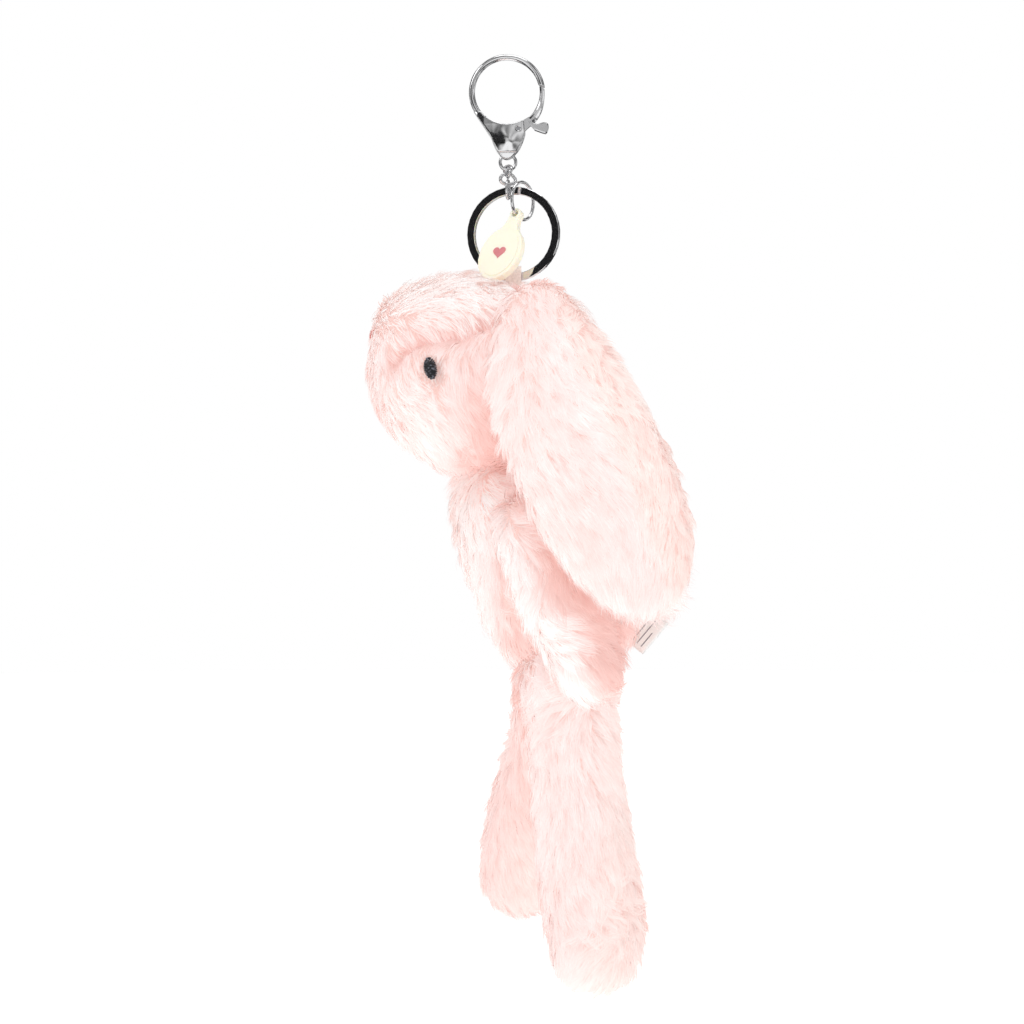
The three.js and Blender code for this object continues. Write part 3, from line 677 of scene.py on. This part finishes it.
def head_dents(points, out):
    """The fold, the eye sockets and the pressed crown, as distances inwards."""
    far, _ = from_path(points, FOLD)
    fold = np.exp(-(far / (2.6 * MM)) ** 2) * on_side(points)
    socket = np.exp(-(eye_distance(points) / (5.5 * MM)) ** 2)
    return -FOLD_DEEP * fold - SOCKET_DEEP * socket - CROWN_DEEP * crown(points)


def crown(points):
    """How near each point is to the middle of the crown, where the loop and the tag press."""
    return np.exp(-(((points - CROWN_AT) / CROWN_REACH) ** 2).sum(1))


head_skin = stuffed_skin("head_skin", "head_stuffing", swell=4.2 * MM)
push(head_skin, head_dents)
head_skin.data.materials.append(backing)
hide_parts("head_cover", "head_stuffing")
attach(head_skin, "head")


def head_comb(points, out):
    """Down the sides, back over the crown, and parted at the fold."""
    y, z = points[:, 1], points[:, 2]
    way = np.zeros_like(points)
    top = fade(z, -92 * MM, -76 * MM)
    way[:, 1] = 0.35 + 0.5 * top
    way[:, 2] = -1.0 + 0.7 * top
    way[:, 0] = np.sign(points[:, 0]) * 0.35 * top
    far, above = from_path(points, FOLD)
    near_fold = np.exp(-(far / (6 * MM)) ** 2) * on_side(points)
    way[:, 2] += near_fold * np.where(above > 0, 0.5, -0.2)
    way[:, 1] += fade(y, -20 * MM, -38 * MM) * 0.5
    return way + wander(points, 9 * MM, 11) * 0.55


def head_reach(points):
    """Short round the eyes and the nose, in the fold and on the crown."""
    eye = fade(eye_distance(points), 2.6 * MM, 8.5 * MM)
    far, _ = from_path(points, FOLD)
    fold = 1 - 0.45 * np.exp(-(far / (2.4 * MM)) ** 2) * on_side(points)
    muzzle = 1 - 0.25 * fade(points[:, 1], -30 * MM, -40 * MM)
    nose = fade(np.linalg.norm(points - np.array(NOSE_AT), axis=1), 4 * MM, 9 * MM)
    return np.maximum(0.16, eye * nose) * fold * muzzle * (1 - 0.45 * crown(points))


def head_tint_and_shade(points, out):
    """A painted highlight, palest at the crown, and painted shade, a deeper pink in the fold, on the
    cheek under the ear and under the chin.
    """
    y, z = points[:, 1], points[:, 2]
    colour = mix(PALE_PILE, PINK_PILE, patchy(points, 14 * MM, 12))
    # Painted highlight: whiter towards the top of the head, where the light from above falls.
    colour = mix(colour, WHITE_PILE, fade(z, -90 * MM, -78 * MM))
    # Painted shade in the fold.
    far, _ = from_path(points, FOLD)
    colour = mix(colour, ROSE_PILE, 0.8 * np.exp(-(far / (3.0 * MM)) ** 2) * on_side(points))
    # Painted shade on the cheek, under the ear.
    cheek = fade(y, -26 * MM, -5 * MM) * fade(z, -92 * MM, -108 * MM)
    colour = mix(colour, mix(DEEP_PILE, ROSE_PILE, 0.35), 0.9 * cheek)
    # Painted shade under the chin.
    chin = fade(z, -118 * MM, -130 * MM) * fade(y, -32 * MM, -16 * MM)
    return mix(colour, ROSE_PILE, 0.15 * chin)


head_pile = pile("head_pile", head_skin, count=int(38000 * FIBRES), length=8.5 * MM,
                 comb=head_comb, tint=head_tint_and_shade, material=brushed_pile, seed=21, reach=head_reach)
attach(head_pile, "head")


# ---- Crown loop ----
# A narrow cotton tape, off-white like the pile. It is folded round the split ring and its ends
# are sewn into the seam at the crown.
tape = backing_material("crown_tape", linear(254, 240, 235))
finish_node("crown_loop", tape)


# ---- Eyes and nose ----
# Satin stitch in thick thread: rows laid side by side over a raised oval, so the outline is
# slightly stepped, and the thread's grains carry a painted highlight in a lighter colour.
def stitched(name, centre, out, up, high, wide, rise, rows, material):
    """An embroidered oval: each row is a short thread that arches over the middle."""
    out, up = Vector(out).normalized(), Vector(up).normalized()
    across = up.cross(out).normalized()
    up = out.cross(across)
    sides, lengthwise = 8, 9
    thread = high / rows * 0.62
    points, faces = [], []
    for row in range(rows):
        level = ((row + 0.5) / rows) * 2 - 1
        reach_out = wide / 2 * math.sqrt(max(0.02, 1 - level * level))
        stagger = 0.12 * wide * (0.5 - row % 2)
        first = len(points)
        for i in range(lengthwise):
            s = i / (lengthwise - 1) * 2 - 1
            arch = rise * math.sqrt(max(0.0, 1 - (0.92 * s) ** 2))
            arch *= math.sqrt(max(0.05, 1 - 0.8 * level * level))
            grain = 1 + 0.10 * math.sin(9.0 * s + row * 1.7)
            height = level * high / 2 + 0.05 * thread * math.sin(7 * s + row)
            middle = (Vector(centre) + across * (s * reach_out + stagger * (1 - s * s))
                      + up * height + out * arch)
            slim = thread * grain * (0.45 if i in (0, lengthwise - 1) else 1.0)
            for k in range(sides):
                a = 2 * math.pi * k / sides
                points.append(middle + up * slim * math.cos(a) + out * slim * math.sin(a))
        for i in range(lengthwise - 1):
            for k in range(sides):
                a, b = first + i * sides + k, first + i * sides + (k + 1) % sides
                faces.append((a, b, b + sides, a + sides))
        faces.append(tuple(first + k for k in reversed(range(sides))))
        last = first + (lengthwise - 1) * sides
        faces.append(tuple(last + k for k in range(sides)))
    mesh = bpy.data.meshes.new(name)
    mesh.from_pydata(points, [], faces)
    for polygon in mesh.polygons:
        polygon.use_smooth = True
    mesh.materials.append(material)
    made = bpy.data.objects.new(name, mesh)
    scene.collection.objects.link(made)
    return made


def thread_material(name, colour, light):
    """Twisted thread: light is the painted highlight, the colour of the grains painted as glints."""
    made = bpy.data.materials.new(name)
    made.use_nodes = True
    nodes, links = made.node_tree.nodes, made.node_tree.links
    shader = nodes["Principled BSDF"]
    shader.inputs["Roughness"].default_value = 0.42
    shader.inputs["Sheen Weight"].default_value = 0.15
    place = nodes.new("ShaderNodeTexCoord")
    ply = nodes.new("ShaderNodeTexNoise")
    ply.inputs["Scale"].default_value = 1700
    ply.inputs["Detail"].default_value = 3
    links.new(place.outputs["Object"], ply.inputs["Vector"])
    # Painted highlight: grains of the lighter colour stand for the glints of the twist.
    ramp = nodes.new("ShaderNodeValToRGB")
    ramp.color_ramp.elements[0].position = 0.52
    ramp.color_ramp.elements[0].color = (*colour, 1)
    ramp.color_ramp.elements[1].position = 0.68
    ramp.color_ramp.elements[1].color = (*light, 1)
    links.new(ply.outputs["Fac"], ramp.inputs["Fac"])
    links.new(ramp.outputs["Color"], shader.inputs["Base Color"])
    bump = nodes.new("ShaderNodeBump")
    bump.inputs["Strength"].default_value = 0.5
    bump.inputs["Distance"].default_value = 0.0002
    links.new(ply.outputs["Fac"], bump.inputs["Height"])
    links.new(bump.outputs["Normal"], shader.inputs["Normal"])
    return made


# Each thread's second colour is its painted highlight.
black_thread = thread_material("black_thread", (0.006, 0.006, 0.010), (0.20, 0.21, 0.25))
rose_thread = thread_material("rose_thread", linear(226, 150, 142), linear(240, 185, 176))
EYE_LEAN = math.radians(12)
EYE_PROUD = 2.6 * MM  # how far the eye stands out from the middle of its socket
for side, sign in (("left", 1), ("right", -1)):
    eye_out = Vector((sign, -0.22, 0.0))
    eye_up = Vector((0, -math.sin(EYE_LEAN), math.cos(EYE_LEAN)))
    centre = Vector((sign * (EYE_AT.x + EYE_PROUD), EYE_AT.y, EYE_AT.z))
    eye = stitched(f"stitched_eye_{side}", centre, eye_out, eye_up, high=6.8 * MM, wide=4.3 * MM,
                   rise=1.5 * MM, rows=12, material=black_thread)
    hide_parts(f"eye_{side}")
    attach(eye, "head")
nose = stitched("stitched_nose", NOSE_AT, (0, -1, 0.4), (0, 0.4, 1), high=3.8 * MM,
                wide=6.0 * MM, rise=1.2 * MM, rows=9, material=rose_thread)
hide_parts("nose")
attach(nose, "head")


# ---- Ears ----
# Two long lop ears, each a flat bag of plush with only a little filling, sewn in at the top of
# the head. The front edge shows its long pile, painted paler where the light falls; the back is
# smoother, with a warmer painted shade, and the inner face has painted shade against the head.
def ear_comb(points, out):
    """Down the ear, and a little forwards at its front edge."""
    way = np.zeros_like(points)
    way[:, 1] = 0.30
    way[:, 2] = -1.0
    edge = fade(points[:, 1] - ear_middle(points[:, 2]), 2 * MM, -14 * MM)
    way[:, 1] -= 0.12 * edge
    return way + wander(points, 12 * MM, 31) * 0.38


def ear_middle(z):
    """Where the middle of the ear is, front to back, at each height."""
    return np.interp(-z, np.array([76, 97, 122, 149, 172]) * MM,
                     np.array([7.6, 12.6, 22.4, 35, 46]) * MM)


def ear_tint_and_shade(points, out):
    """Painted light and shade: a highlight towards the front edge, a warmer shade towards the back
    edge and a deeper one on the inner face.
    """
    across = points[:, 1] - ear_middle(points[:, 2])
    colour = mix(PINK_PILE * 0.985, PALE_PILE, patchy(points, 16 * MM, 32))
    # Painted highlight towards the front edge, where the light falls.
    colour = mix(colour, WHITE_PILE, 0.35 * fade(across, 3 * MM, -12 * MM))
    # Painted shade: warmer towards the back edge, away from the light.
    colour = mix(colour, PEACH_PILE, 0.6 * fade(across, 2 * MM, 12 * MM))
    # Painted shade on the inner face, against the head.
    inner = fade(np.abs(points[:, 0]), 40 * MM, 33 * MM) * fade(points[:, 2], -95 * MM, -110 * MM)
    colour = mix(colour, DEEP_PILE, 0.3 * inner)
    return mix(colour, DEEP_PILE, 0.12 + 0.16 * fade(across, 4 * MM, -10 * MM))


def ear_reach(points):
    """Long at the front edge, short where the ear turns over at the back and at its root."""
    across = points[:, 1] - ear_middle(points[:, 2])
    back = fade(across, 0, 11 * MM)
    root = fade(points[:, 2], -92 * MM, -78 * MM)
    return (1 - 0.4 * back) * (1 - 0.35 * root)


for side, sign in (("left", 1), ("right", -1)):
    ear_skin = stuffed_skin(f"ear_{side}_skin", f"ear_{side}", swell=1.8 * MM, smoothing=6)
    ear_skin.data.materials.append(backing)
    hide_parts(f"ear_{side}")
    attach(ear_skin, f"ear_{side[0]}")
    ear_pile = pile(f"ear_{side}_pile", ear_skin, count=int(36000 * FIBRES), length=9.5 * MM,
                    comb=ear_comb, tint=ear_tint_and_shade, material=brushed_pile, seed=41 + sign,
                    lift=0.18, reach=ear_reach)
    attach(ear_pile, f"ear_{side[0]}")


# ---- Torso ----
# A pear of plush, broad at the rump. On the flanks, in the shade of the ears, the pile is
# brushed back; a deeper pink is painted there as shade, and at the neck and the rump.
def torso_comb(points, out):
    """Down, and back over the flanks."""
    way = np.zeros_like(points)
    flank = fade(points[:, 1], -8 * MM, 2 * MM) * fade(points[:, 2], -186 * MM, -172 * MM)
    way[:, 1] = 0.15 + 1.1 * flank
    way[:, 2] = -1.0 + 0.65 * flank
    return way + wander(points, 9 * MM, 51) * 0.55


def torso_tint_and_shade(points, out):
    """Pale at the belly, with painted shade on the flanks, streaked with rose, and at the neck and
    rump.
    """
    colour = mix(WHITE_PILE, PINK_PILE, 0.4 * patchy(points, 12 * MM, 52))
    # Painted shade on the flanks, in the shadow of the ears.
    flank = fade(points[:, 1], -8 * MM, 3 * MM) * fade(np.abs(points[:, 0]), 6 * MM, 12 * MM)
    streak = patchy(points, 5 * MM, 53, level=0.6)
    colour = mix(colour, mix(DEEP_PILE, ROSE_PILE, 0.45 * streak), 0.85 * flank)
    # Painted shade at the neck under the head, and at the rump under the ends of the ears.
    neck = fade(points[:, 2], -146 * MM, -132 * MM)
    rump = fade(points[:, 2], -168 * MM, -184 * MM) * fade(points[:, 1], 8 * MM, 20 * MM)
    colour = mix(colour, DEEP_PILE, 0.5 * rump)
    return mix(colour, DEEP_PILE, 0.2 * neck)


torso_skin = stuffed_skin("torso_skin", "torso_stuffing", swell=4.2 * MM)
torso_skin.data.materials.append(backing)
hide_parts("torso_cover", "torso_stuffing")
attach(torso_skin, "torso")
torso_pile = pile("torso_pile", torso_skin, count=int(32000 * FIBRES), length=8.5 * MM,
                  comb=torso_comb, tint=torso_tint_and_shade, material=brushed_pile, seed=61)
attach(torso_pile, "torso")


# ---- Arms and legs ----
# Long soft tubes of the same plush, filled more loosely and sewn on at the shoulder and the hip.
# The pile runs down the legs and back along the arms.
def leg_comb(points, out):
    way = np.zeros_like(points)
    way[:, 2] = -1.0
    way[:, 1] = 0.25
    return way + wander(points, 10 * MM, 71) * 0.55


def arm_comb(points, out):
    way = np.zeros_like(points)
    way[:, 2] = -0.75
    way[:, 1] = 0.75
    return way + wander(points, 8 * MM, 72) * 0.5


def leg_tint_and_shade(points, out):
    """Peach behind, and painted shade deepening the inner face, between the legs."""
    inward = -np.sign(points[:, 0]) * out[:, 0]
    colour = mix(PALE_PILE, PINK_PILE, patchy(points, 14 * MM, 73))
    colour = mix(colour, PEACH_PILE, 0.4 * fade(points[:, 1], 22 * MM, 34 * MM))
    colour = mix(colour, DEEP_PILE, 0.2)
    # Painted shade on the inner face, between the legs.
    return mix(colour, DEEP_PILE, 0.55 * fade(inward, -0.3, 0.7))


def arm_tint_and_shade(points, out):
    """Pale at the front, with painted shade deeper towards the back and the shoulder, under the ear.
    """
    colour = mix(WHITE_PILE, PALE_PILE, patchy(points, 9 * MM, 74))
    # Painted shade: deeper towards the back and the shoulder, in the shadow of the ear.
    shade = fade(points[:, 1] + 0.45 * (points[:, 2] + 147 * MM), -2 * MM, 8 * MM)
    colour = mix(colour, DEEP_PILE, 0.95 * shade)
    return mix(colour, ROSE_PILE, 0.3 * shade)


for limb, body, count, comb, tint, seed in (
    ("leg_left", "leg_l", 34000, leg_comb, leg_tint_and_shade, 81),
    ("leg_right", "leg_r", 34000, leg_comb, leg_tint_and_shade, 82),
    ("arm_left", "arm_l", 16000, arm_comb, arm_tint_and_shade, 83),
    ("arm_right", "arm_r", 16000, arm_comb, arm_tint_and_shade, 84),
):
    limb_skin = stuffed_skin(f"{limb}_skin", f"{limb}_stuffing", swell=3.6 * MM)
    limb_skin.data.materials.append(backing)
    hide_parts(limb, f"{limb}_stuffing")
    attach(limb_skin, body)
    limb_pile = pile(f"{limb}_pile", limb_skin, count=int(count * FIBRES), length=8.5 * MM,
                     comb=comb, tint=tint, material=brushed_pile, seed=seed)
    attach(limb_pile, body)


# ---- Tail ----
# A small round puff of the paler plush, filled lightly and sewn to the rump. Its pile stands
# up all round.
def tail_comb(points, out):
    way = np.zeros_like(points)
    way[:, 1] = 0.6
    way[:, 2] = -0.8
    return way + wander(points, 6 * MM, 91) * 0.6


def tail_tint(points, out):
    return mix(PALE_PILE, WHITE_PILE, 0.4)


tail_skin = stuffed_skin("tail_skin", "tail", swell=0.6 * MM, voxel=1.2 * MM, smoothing=4)
tail_skin.data.materials.append(backing)
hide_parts("tail")
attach(tail_skin, "torso")
tail_pile = pile("tail_pile", tail_skin, count=int(4500 * FIBRES), length=7.5 * MM,
                 comb=tail_comb, tint=tail_tint, material=brushed_pile, seed=92, lift=0.6)
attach(tail_pile, "torso")


# ---- Care label ----
# A strip of white satin tape folded double and caught in the seam below the tail. Plain grey
# bars stand where its printing would be.
label_low, label_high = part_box("care_label")


def satin_material(name, colour):
    """Satin tape: fine woven bands with a soft gloss."""
    made = bpy.data.materials.new(name)
    made.use_nodes = True
    nodes, links = made.node_tree.nodes, made.node_tree.links
    shader = nodes["Principled BSDF"]
    shader.inputs["Roughness"].default_value = 0.38
    shader.inputs["Sheen Weight"].default_value = 0.2
    shader.inputs["Anisotropic"].default_value = 0.4
    place = nodes.new("ShaderNodeTexCoord")
    weave = nodes.new("ShaderNodeTexWave")
    weave.wave_type = "BANDS"
    weave.bands_direction = "X"
    weave.inputs["Scale"].default_value = 900
    weave.inputs["Distortion"].default_value = 1.5
    links.new(place.outputs["UV"], weave.inputs["Vector"])
    ramp = nodes.new("ShaderNodeValToRGB")
    ramp.color_ramp.elements[0].color = (*(colour * 0.93), 1)
    ramp.color_ramp.elements[1].color = (*colour, 1)
    links.new(weave.outputs["Color"], ramp.inputs["Fac"])
    links.new(ramp.outputs["Color"], shader.inputs["Base Color"])
    bump = nodes.new("ShaderNodeBump")
    bump.inputs["Strength"].default_value = 0.15
    bump.inputs["Distance"].default_value = 0.0001
    links.new(weave.outputs["Fac"], bump.inputs["Height"])
    links.new(bump.outputs["Normal"], shader.inputs["Normal"])
    return made


LABEL_WIDE = 13 * MM
LABEL_FOLD = 12.5 * MM  # seam to fold
LABEL_SLOPE = math.radians(40)
label_root = Vector((0, label_low.y + 2.2 * MM, label_high.z - 1.6 * MM))
label_down = Vector((0, math.cos(LABEL_SLOPE), -math.sin(LABEL_SLOPE)))
label_across = Vector((0, math.sin(LABEL_SLOPE), math.cos(LABEL_SLOPE)))


def label_point(along_strip, across_strip):
    """A point on the folded strip: down one face, round the fold and up the other."""
    t = along_strip / LABEL_FOLD
    side = 1 if t <= 1 else -1
    down = (t if t <= 1 else 2 - t) * LABEL_FOLD
    gap = 0.55 * MM * math.sqrt(max(0.0, 1 - (down / LABEL_FOLD) ** 6)) + 0.02 * MM
    curl = 0.9 * MM * (down / LABEL_FOLD) ** 2 * math.cos(across_strip / LABEL_WIDE * 2.2)
    return (label_root + label_down * down + label_across * across_strip
            + Vector((side * gap + curl + 1.2 * MM * (down / LABEL_FOLD) ** 2, 0, 0)))


def strip(name, starts, ends, left, right, lift, material, steps=24, slices=6):
    """A length of the strip between two distances along it, lifted off its outer face."""
    points, faces, uvs = [], [], []
    for i in range(steps + 1):
        d = starts + (ends - starts) * i / steps
        for k in range(slices + 1):
            a = left + (right - left) * k / slices
            p = label_point(d, a)
            outward = 1 if d <= LABEL_FOLD else -1
            points.append(p + Vector((outward * lift, 0, 0)))
            uvs.append((a / LABEL_WIDE + 0.5, d / (2 * LABEL_FOLD)))
    for i in range(steps):
        for k in range(slices):
            a = i * (slices + 1) + k
            faces.append((a, a + 1, a + slices + 2, a + slices + 1))
    mesh = bpy.data.meshes.new(name)
    mesh.from_pydata(points, [], faces)
    layer = mesh.uv_layers.new(name="OFBake")
    for loop in mesh.loops:
        layer.data[loop.index].uv = uvs[loop.vertex_index]
    for polygon in mesh.polygons:
        polygon.use_smooth = True
    mesh.materials.append(material)
    made = bpy.data.objects.new(name, mesh)
    scene.collection.objects.link(made)
    return made


satin = satin_material("label_satin", linear(244, 243, 240))
grey_ink = satin_material("label_ink", linear(138, 136, 140))
label = strip("satin_label", 0, 2 * LABEL_FOLD, -LABEL_WIDE / 2, LABEL_WIDE / 2, lift=0,
              material=satin, steps=40)
thick = label.modifiers.new("thickness", "SOLIDIFY")
thick.thickness = 0.12 * MM
thick.offset = 0
bake_down(label)
BAR_HIGH = 0.34 * MM
BAR_LEFT = -0.38  # shares of the label's width from its middle line
bars = []
for row, bar_right in enumerate((0.34, 0.22, 0.38, 0.05)):
    start = (5.2 + 1.7 * row) * MM
    bar = strip(f"label_bar_{row + 1}", start, start + BAR_HIGH, BAR_LEFT * LABEL_WIDE,
                bar_right * LABEL_WIDE, lift=0.09 * MM, material=grey_ink, steps=2)
    bars.append(bar)
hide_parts("care_label")
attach(label, "torso")
for bar in bars:
    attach(bar, "torso")


# ---- Sizes ----
# A box's corners as plain lists of numbers.
def corners(box):
    return [list(map(float, corner)) for corner in box]
